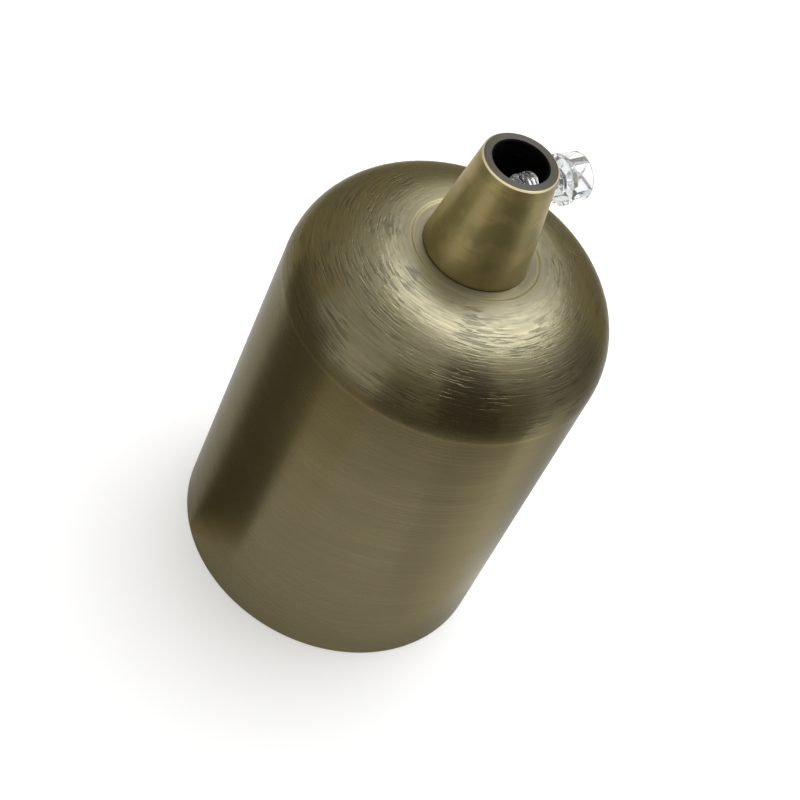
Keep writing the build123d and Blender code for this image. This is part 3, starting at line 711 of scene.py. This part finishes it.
class HOLDER_OT_grip_screw(bpy.types.Operator):
    """Model the clear grip screw with its thread, flange and pocketed head"""

    bl_idname = "holder.grip_screw"
    bl_label = "Grip Screw"

    circle_steps = 64
    rings_per_pitch = 10
    point_radius = 1.6 * MM
    point_length = 2.8 * MM
    point_shoulder = 0.25 * MM
    thread_radius = 1.98 * MM
    thread_length = 6.5 * MM
    crest_share = 0.12
    flank_share = 0.7
    flange_thickness = 0.9 * MM
    flange_fillet = 0.18 * MM
    head_radius = (SCREW_HIGH.z - SCREW_LOW.z) / 2
    head_step = 0.14 * MM
    head_draft = 0.1 * MM
    rim_wall = 0.55 * MM
    rib_width = 1.0 * MM

    def execute(self, context):
        sizes = context.scene.holder_sizes
        level = (SCREW_LOW.z + SCREW_HIGH.z) / 2
        screw = self.turn_body(sizes, level)
        for quarter in range(4):
            subtract(screw, self.pocket(level, quarter))
        clean_mesh(screw)
        smooth(screw)
        finish_piece(screw, clear_plastic(), "grip_screw", "clear_plastic", "grip_screw")
        return {"FINISHED"}

    def turn_body(self, sizes, level):
        """Extrudes ring by ring from the point to the head's end."""
        deselect_all()
        tip = SCREW_LOW.x
        edge = self.rim_wall / 2
        start = self.point_radius - edge
        bpy.ops.mesh.primitive_circle_add(
            vertices=self.circle_steps, radius=start, fill_type="NGON",
            location=(tip, 0, level), rotation=(0, pi / 2, 0),
        )
        screw = start_mesh("clear_grip_screw")
        thread_start = tip + self.point_length
        flange = thread_start + self.thread_length
        flange_end = flange + self.flange_thickness
        turns = int(self.thread_length / sizes.grip_thread_pitch * self.rings_per_pitch)
        fillet, body = self.flange_fillet, self.head_radius - self.head_step
        rings = [
            (tip + edge, self.point_radius),
            (thread_start - self.point_shoulder, self.point_radius),
            *((thread_start + self.thread_length * i / turns, self.thread_radius) for i in range(turns)),
            (flange, self.thread_radius),
            (flange, self.head_radius - fillet),
            (flange + fillet * 0.3, self.head_radius - fillet * 0.3),
            (flange + fillet, self.head_radius),
            (flange_end - fillet, self.head_radius),
            (flange_end, body),
            (flange_end + fillet, body),
            (SCREW_HIGH.x - edge, self.head_radius - self.head_draft),
            (SCREW_HIGH.x - edge * 0.3, self.head_radius - edge * 0.45),
            (SCREW_HIGH.x, self.head_radius - edge),
        ]
        x, radius = tip, start
        for ring_x, ring_radius in rings:
            extrude((ring_x - x, 0, 0))
            scale = ring_radius / radius
            bpy.ops.transform.resize(value=(1, scale, scale), center_override=(ring_x, 0, level))
            x, radius = ring_x, ring_radius
        bpy.ops.object.mode_set(mode="OBJECT")
        self.cut_thread(screw, sizes, level, thread_start, flange)
        return screw

    def cut_thread(self, screw, sizes, level, start, end):
        """Draws the shank's rings in along a helix, with faded ends."""
        fade = sizes.grip_thread_pitch
        for vertex in screw.data.vertices:
            point = vertex.co
            if not start + 0.01 * MM < point.x < end - 0.01 * MM:
                continue
            turn = atan2(point.z - level, point.y) / (2 * pi)
            phase = ((point.x - start) / sizes.grip_thread_pitch - turn) % 1.0
            off_root = (abs(phase - 0.5) * 2 - self.crest_share) / self.flank_share
            groove = 1 - min(1.0, max(0.0, off_root))
            groove *= min(1.0, (end - point.x) / fade)
            scale = 1 - sizes.grip_thread_depth * groove / self.thread_radius
            point.y *= scale
            point.z = level + (point.z - level) * scale

    def pocket(self, level, quarter):
        """One of four pockets in the head: a quarter of a disc between the ribs."""
        deselect_all()
        floor = SCREW_LOW.x + self.point_length + self.thread_length + self.flange_thickness
        depth = SCREW_HIGH.x - floor + 1 * MM
        bpy.ops.mesh.primitive_cylinder_add(
            vertices=self.circle_steps, radius=self.head_radius - self.rim_wall, depth=depth,
            location=(floor + depth / 2, 0, level), rotation=(0, pi / 2, 0),
        )
        cutter = start_mesh("pocket")
        for side in (Vector((0, 1, 0)), Vector((0, 0, 1))):
            turned = Matrix.Rotation(quarter * pi / 2, 3, "X") @ side
            bpy.ops.mesh.select_all(action="SELECT")
            bpy.ops.mesh.bisect(
                plane_co=Vector((0, 0, level)) + turned * self.rib_width / 2, plane_no=turned,
                use_fill=True, clear_inner=True,
            )
        clean_mesh(cutter)
        return cutter


class HOLDER_OT_screw_shell(bpy.types.Operator):
    """Roll the screw shell with its round lamp thread, lip and turned-in floor"""

    bl_idname = "holder.screw_shell"
    bl_label = "Screw Shell"

    shoulder_height = 4.2 * MM
    shoulder_width = 2.3 * MM
    shoulder_rings = 6
    hole_margin = 0.3 * MM
    lip = 1.4 * MM
    rings_per_turn = 14
    smooth_angle = radians(50)

    def execute(self, context):
        sizes = context.scene.holder_sizes
        steps = context.scene.holder_stage.circle_steps
        shell = self.raise_wall(sizes, steps)
        self.roll_thread(shell, sizes)
        wall = shell.modifiers.new("wall", "SOLIDIFY")
        wall.thickness = sizes.shell_sheet
        wall.offset = 1.0
        wall.use_even_offset = True
        apply_modifier(shell, wall)
        smooth(shell, self.smooth_angle)
        material = turned_metal(
            "rolled_nickel", "screw_shell", context.scene.holder_finishes.nickel, rough=0.2, pitch=0.25 * MM
        )
        finish_piece(shell, material, "holder", "nickel", "screw_shell")
        return {"FINISHED"}

    def raise_wall(self, sizes, steps):
        """Extrudes the shell's inner face from the lip to the hole in its floor."""
        deselect_all()
        inner = SHELL_HIGH.x - sizes.shell_sheet
        floor = SHELL_HIGH.z - sizes.shell_sheet
        shoulder = floor - self.shoulder_height
        bpy.ops.mesh.primitive_circle_add(
            vertices=steps, radius=inner, fill_type="NOTHING", location=(0, 0, SHELL_LOW.z),
        )
        shell = start_mesh("rolled_screw_shell")
        wall_height = shoulder - SHELL_LOW.z
        count = round(wall_height / sizes.lamp_thread_pitch * self.rings_per_turn)
        for ring in range(count):
            extrude((0, 0, wall_height / count))
        level, radius = shoulder, inner
        for step in range(1, self.shoulder_rings + 1):
            angle = step / self.shoulder_rings * pi / 2
            next_level = shoulder + self.shoulder_height * sin(angle)
            next_radius = inner - self.shoulder_width * (1 - cos(angle))
            extrude_ring(next_level - level, next_radius / radius)
            level, radius = next_level, next_radius
        for next_radius in (sizes.shell_hole_radius + self.hole_margin, sizes.shell_hole_radius):
            extrude_ring(0, next_radius / radius)
            radius = next_radius
        clean_mesh(shell)
        return shell

    def roll_thread(self, shell, sizes):
        """Draws the wall in along a helix, fading at the lip and at the shoulder."""
        shoulder = SHELL_HIGH.z - sizes.shell_sheet - self.shoulder_height
        for vertex in shell.data.vertices:
            point = vertex.co
            rise = min((point.z - SHELL_LOW.z - self.lip) / self.lip, (shoulder - point.z) / self.lip)
            if rise <= 0:
                continue
            fade = min(1.0, rise)
            turn = atan2(point.y, point.x) / (2 * pi)
            wave = 0.5 - 0.5 * cos(2 * pi * (point.z / sizes.lamp_thread_pitch - turn))
            radius = Vector((point.x, point.y)).length
            scale = 1 - sizes.lamp_thread_depth * wave * fade / radius
            point.x *= scale
            point.y *= scale


class HOLDER_OT_contact_spring(bpy.types.Operator):
    """Wind the contact spring with closed ends"""

    bl_idname = "holder.contact_spring"
    bl_label = "Contact Spring"

    wire_sides = 14
    steps_per_turn = 32
    closed_turns = 1.0
    closed_gap = 1.04

    def execute(self, context):
        sizes = context.scene.holder_sizes
        coil_radius = SPRING_HIGH.x - sizes.spring_wire / 2
        height = SPRING_HIGH.z - SPRING_LOW.z - sizes.spring_wire
        deselect_all()
        bpy.ops.mesh.primitive_circle_add(
            vertices=self.wire_sides, radius=sizes.spring_wire / 2, fill_type="NOTHING",
            location=(coil_radius, 0, SPRING_LOW.z + sizes.spring_wire / 2), rotation=(pi / 2, 0, 0),
        )
        spring = start_mesh("wound_contact_spring")
        bpy.ops.object.mode_set(mode="OBJECT")
        coil = spring.modifiers.new("coil", "SCREW")
        coil.angle = 2 * pi * sizes.spring_turns
        coil.screw_offset = height
        coil.steps = coil.render_steps = round(self.steps_per_turn * sizes.spring_turns)
        coil.iterations = 1
        coil.use_merge_vertices = False
        apply_modifier(spring, coil)
        self.close_ends(spring, sizes, height)
        bpy.ops.object.mode_set(mode="EDIT")
        bpy.ops.mesh.select_all(action="SELECT")
        bpy.ops.mesh.fill_holes(sides=0)
        clean_mesh(spring)
        smooth(spring)
        material = wire_steel(context.scene.holder_finishes)
        finish_piece(spring, material, "holder", "spring_steel", "contact_spring")
        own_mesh(spring)
        return {"FINISHED"}

    def close_ends(self, spring, sizes, height):
        """Lays the end turns flat, one wire apart, and spreads the rise over the others."""
        ring = self.wire_sides
        total = len(spring.data.vertices) // ring
        pitch_closed = sizes.spring_wire * self.closed_gap
        open_turns = sizes.spring_turns - 2 * self.closed_turns
        pitch_open = (height - 2 * self.closed_turns * pitch_closed) / open_turns
        for place in range(total):
            turns = sizes.spring_turns * place / (total - 1)
            straight = height * place / (total - 1)
            low = min(turns, self.closed_turns)
            high = max(0.0, turns - sizes.spring_turns + self.closed_turns)
            level = (low + high) * pitch_closed + (turns - low - high) * pitch_open
            for vertex in spring.data.vertices[place * ring:(place + 1) * ring]:
                vertex.co.z += level - straight


class HOLDER_OT_metal_parts(bpy.types.Operator):
    """Finish the plated and brass pieces inside the holder"""

    bl_idname = "holder.metal_parts"
    bl_label = "Metal Parts"

    screw_thread = {"thread_pitch": 0.6 * MM, "thread_radius": 1.75 * MM}
    frame_thread = {"thread_pitch": 0.5 * MM, "thread_radius": 1.5 * MM}
    tube_thread = {"thread_pitch": 1.0 * MM, "thread_radius": 5.0 * MM}

    def execute(self, context):
        crosswise = (0, 0, pi / 2)
        self.turn("zinc", "threaded_tube", **self.tube_thread)
        self.turn("zinc", "bracket_hub")
        self.turn("zinc", "lock_nut", pitch=0.15 * MM)
        self.turn("zinc", "frame_nut_left", "frame_nut_right", pitch=0.12 * MM)
        self.turn("zinc", "frame_screw_left", "frame_screw_right", **self.frame_thread)
        self.turn("zinc", "live_terminal_screw", "neutral_terminal_screw", **self.screw_thread)
        self.turn("brass", "earth_screw", **self.screw_thread)
        self.turn("brass", "contact_guide", "contact_plunger", rough=0.26)
        self.turn("brass", "shell_rivet_left", "shell_rivet_right", rough=0.26)
        self.turn("spring_steel", "toothed_washer", rough=0.4)
        self.turn("spring_steel", "spring_washer_left", "spring_washer_right", rough=0.38)
        self.turn("spring_steel", "plunger_clip")
        self.stamp("zinc", "bracket", turn=crosswise)
        self.stamp("spring_steel", "grub_screw")
        self.stamp("brass", "earth_plate", "live_strap", "neutral_strap")
        self.stamp("brass", "live_terminal", "neutral_terminal", rough=0.26, turn=crosswise)
        return {"FINISHED"}

    def turn(self, finish, *nodes, **values):
        """Gives turned nodes a finish, each with marks round its own axis."""
        colour = getattr(bpy.context.scene.holder_finishes, finish)
        for node in nodes:
            dress(node, turned_metal(f"{node}_{finish}", node, colour, **values))

    def stamp(self, finish, *nodes, **values):
        """Gives stamped nodes a finish with straight grain."""
        colour = getattr(bpy.context.scene.holder_finishes, finish)
        for node in nodes:
            dress(node, sheet_metal(f"{node}_{finish}", colour, **values))


class HOLDER_OT_insulation(bpy.types.Operator):
    """Finish the porcelain body and the fibre washers"""

    bl_idname = "holder.insulation"
    bl_label = "Insulation"

    def execute(self, context):
        finishes = context.scene.holder_finishes
        dress("porcelain_body", glazed_porcelain(finishes))
        fibre = pressed_fibre(finishes)
        for side in ("left", "right"):
            dress(f"fibre_washer_{side}", fibre)
        return {"FINISHED"}


class HOLDER_OT_studio(bpy.types.Operator):
    """Set up the pale floor, soft light, reflection cards and camera"""

    bl_idname = "holder.studio"
    bl_label = "Studio"

    camera_clip = (0.01, 20)
    sensor_width = 36.0
    floor_size = 4.0
    floor_drop = 0.02 * MM
    floor_colour = (0.645, 0.62, 0.545, 1)
    floor_glow = 0.45
    floor_glow_range = (0.3, 1.2)
    softbox_distance = 0.7
    softbox_half_angle = radians(27)
    softbox_place = (157, 68)
    softbox_colour = (0.945, 1.0, 1.2)
    card_steps = 24
    card_lift = 0.3 * MM
    dark_tint = (1.0, 0.90, 0.62)
    pale_tint = (1.0, 0.99, 0.97)
    # Name; pivot ahead of the axis and beside it; first and last azimuth from the camera, in degrees;
    # start of the apron, reach and height; strength at the apron's start and at the wall. A pale card
    # also has the azimuth where it is brightest, the half width of that swell and its gain. In mm.
    cards = (
        ("side_flag", (17.5, -6.7), (-110, -52), (12, 120, 60), (0.17, 0.20)),
        ("low_flag", (0, 0), (-56, -12), (56, 120, 10), (0.3, 0.3)),
        ("front_flag", (0, 0), (-12, 22), (66, 260, 220), (0.05, 0.35)),
        ("tall_flag", (0, 0), (22, 62), (66, 260, 520), (0.12, 0.10)),
        ("right_flag", (0, 0), (62, 80), (66, 260, 220), (0.2, 0.3)),
        ("near_card", (0, 0), (40, 80), (26, 62, 0.1), (1.0, 0.9), (88, 42, 0.65)),
        ("light_card", (0, 0), (80, 132), (26, 270, 200), (1.0, 0.3), (88, 30, 0.65)),
        ("back_flag", (0, 0), (132, 290), (120, 260, 260), (0.55, 0.6)),
    )

    def execute(self, context):
        stage = context.scene.holder_stage
        self.make_world(stage)
        self.make_floor()
        self.make_softbox(stage)
        for card in self.cards:
            self.make_card(stage, *card)
        self.make_camera(stage)
        context.scene.view_settings.view_transform = "Standard"
        return {"FINISHED"}

    def seen_directly(self, tree):
        """1 for camera, glossy and transmission rays, 0 for light on surfaces."""
        path = add_node(tree, "ShaderNodeLightPath")
        share = calculate(tree, "MAXIMUM", path.outputs["Is Camera Ray"], path.outputs["Is Glossy Ray"])
        return calculate(tree, "MAXIMUM", share, path.outputs["Is Transmission Ray"])

    def make_world(self, stage):
        """White where it is seen or reflected, and a plain fill light elsewhere."""
        world = bpy.data.worlds.new("studio")
        world.use_nodes = True
        bpy.context.scene.world = world
        tree = world.node_tree
        background = tree.nodes["Background"]
        feed(tree, (1, 1, 1, 1), background.inputs["Color"])
        strength = add_up(tree, stage.fill, (self.seen_directly(tree), 1.0 - stage.fill))
        feed(tree, strength, background.inputs["Strength"])

    def make_floor(self):
        """Pale matte floor that keeps the shadow and glows up to white where it is seen."""
        deselect_all()
        bpy.ops.mesh.primitive_plane_add(size=self.floor_size, location=(0, 0, -self.floor_drop))
        floor = bpy.context.object
        apply_place(floor)
        floor.name = "studio_floor"
        material, tree, shader, vector = new_material("pale_floor")
        glow = spread(tree, combine(tree, "LENGTH", vector), *self.floor_glow_range, self.floor_glow, 1.0)
        set_shader(
            tree, shader,
            Base_Color=self.floor_colour,
            Roughness=0.9,
            Specular_IOR_Level=0.1,
            Emission_Color=(1, 1, 1, 1),
            Emission_Strength=times(tree, self.seen_directly(tree), glow),
        )
        floor.data.materials.append(material)

    def make_softbox(self, stage):
        """Round softbox overhead, a little behind the holder as the camera sees it."""
        away = self.direction(stage, *self.softbox_place)
        radius = self.softbox_distance * tan(self.softbox_half_angle)
        light = bpy.data.lights.new("overhead_softbox", "AREA")
        light.shape = "DISK"
        light.size = 2 * radius
        light.color = self.softbox_colour
        light.energy = stage.softbox_radiance * pi * pi * radius ** 2
        lamp = bpy.data.objects.new("overhead_softbox", light)
        bpy.context.scene.collection.objects.link(lamp)
        lamp.location = Vector((0, 0, CUP_TOP)) + away * self.softbox_distance
        lamp.rotation_euler = away.to_track_quat("Z", "Y").to_euler()
        lamp.visible_camera = False

    def direction(self, stage, beside, elevation):
        """Unit vector at an azimuth in degrees to the right of the camera's and an elevation."""
        angle = stage.azimuth + radians(beside)
        height = radians(elevation)
        return Vector((cos(height) * cos(angle), cos(height) * sin(angle), sin(height)))

    def make_card(self, stage, name, pivot, turn, shape, tones, swell=None):
        """Card for reflections alone: an apron on the floor and a curved wall behind it."""
        edge, tint = (0.0, self.pale_tint) if swell else (0.5, self.dark_tint)
        middle, half_width, gain = swell or (0, 1, 0)
        apron, reach, height = (size * MM for size in shape)
        ahead, beside = self.direction(stage, 0, 0), self.direction(stage, 90, 0)
        centre = (ahead * pivot[0] + beside * pivot[1]) * MM + Vector((0, 0, self.card_lift))
        first = self.direction(stage, turn[0], 0)
        deselect_all()
        bpy.ops.mesh.primitive_circle_add(vertices=3, radius=1 * MM, fill_type="NOTHING")
        card = start_mesh(name)
        bpy.ops.mesh.merge(type="CENTER")
        bpy.ops.transform.translate(value=centre + first * apron)
        for shift in (first * (reach - apron), (0, 0, height)):
            extrude(shift)
        bpy.ops.mesh.select_all(action="SELECT")
        sweep = radians(turn[1] - turn[0])
        bpy.ops.mesh.spin(steps=self.card_steps, angle=sweep, center=centre, axis=(0, 0, -1))
        bpy.ops.object.mode_set(mode="OBJECT")

        material, tree, shader, vector = new_material(name, centre, (0, 0, stage.azimuth + radians(middle)))
        distance = combine(tree, "LENGTH", vector)
        soft_edge = spread(tree, distance, apron, apron * 1.5, edge, 0.0)
        strength = calculate(tree, "ADD", spread(tree, distance, apron, reach, *tones), soft_edge)
        parts = split(tree, vector)
        angle = calculate(tree, "ARCTAN2", parts["Y"], parts["X"])
        brighter = add_up(tree, 1.0, (ridge_line(tree, angle, 0.0, radians(half_width)), gain))
        set_shader(
            tree, shader,
            Base_Color=(0.02, 0.02, 0.02, 1),
            Roughness=1.0,
            Specular_IOR_Level=0.0,
            Emission_Color=(*tint, 1),
            Emission_Strength=times(tree, strength, brighter),
        )
        card.data.materials.append(material)
        card.visible_camera = False
        card.visible_diffuse = False
        card.visible_transmission = False
        card.visible_shadow = False

    def make_camera(self, stage):
        """Camera at the photograph's angle, with its roll."""
        back = self.direction(stage, 0, stage.elevation * 180 / pi)
        side = Vector((-sin(stage.azimuth), cos(stage.azimuth), 0))
        above = back.cross(side)
        right = side * cos(stage.roll) + above * sin(stage.roll)
        up = above * cos(stage.roll) - side * sin(stage.roll)
        data = bpy.data.cameras.new("product_camera")
        data.lens = stage.lens
        data.sensor_width = self.sensor_width
        data.clip_start, data.clip_end = self.camera_clip
        camera = bpy.data.objects.new("product_camera", data)
        bpy.context.scene.collection.objects.link(camera)
        nudge = Euler((stage.aim_offset, -stage.aim_offset, 0)).to_matrix()
        turn = Matrix((right, up, back)).transposed() @ nudge
        place = Vector((0, 0, stage.aim_height)) + back * stage.distance
        camera.matrix_world = Matrix.Translation(place) @ turn.to_4x4()
        bpy.context.scene.camera = camera


STEPS = (
    HOLDER_OT_cup,
    HOLDER_OT_cord_grip,
    HOLDER_OT_grip_screw,
    HOLDER_OT_screw_shell,
    HOLDER_OT_contact_spring,
    HOLDER_OT_metal_parts,
    HOLDER_OT_insulation,
    HOLDER_OT_studio,
)


class HOLDER_PT_panel(bpy.types.Panel):
    """Lists the sizes, colours and steps of the lamp holder"""

    bl_idname = "HOLDER_PT_panel"
    bl_label = "Lamp Holder"
    bl_space_type = "VIEW_3D"
    bl_region_type = "UI"
    bl_category = "Lamp Holder"

    def draw(self, context):
        layout = self.layout
        for group in (context.scene.holder_sizes, context.scene.holder_finishes, context.scene.holder_stage):
            box = layout.box()
            for name in group.__annotations__:
                box.prop(group, name)
        for step in STEPS:
            layout.operator(step.bl_idname)


CLASSES = (HolderSizes, HolderFinishes, HolderStage, *STEPS, HOLDER_PT_panel)


def register():
    """Registers the classes and the settings on the scene."""
    for item in CLASSES:
        bpy.utils.register_class(item)
    bpy.types.Scene.holder_sizes = PointerProperty(type=HolderSizes)
    bpy.types.Scene.holder_finishes = PointerProperty(type=HolderFinishes)
    bpy.types.Scene.holder_stage = PointerProperty(type=HolderStage)


def unregister():
    """Removes the settings and the classes."""
    del bpy.types.Scene.holder_stage
    del bpy.types.Scene.holder_finishes
    del bpy.types.Scene.holder_sizes
    for item in reversed(CLASSES):
        bpy.utils.unregister_class(item)


def main():
    """Builds every piece in order."""
    register()
    for step in STEPS:
        space, name = step.bl_idname.split(".")
        getattr(getattr(bpy.ops, space), name)()


if __name__ == "__main__":
    main()
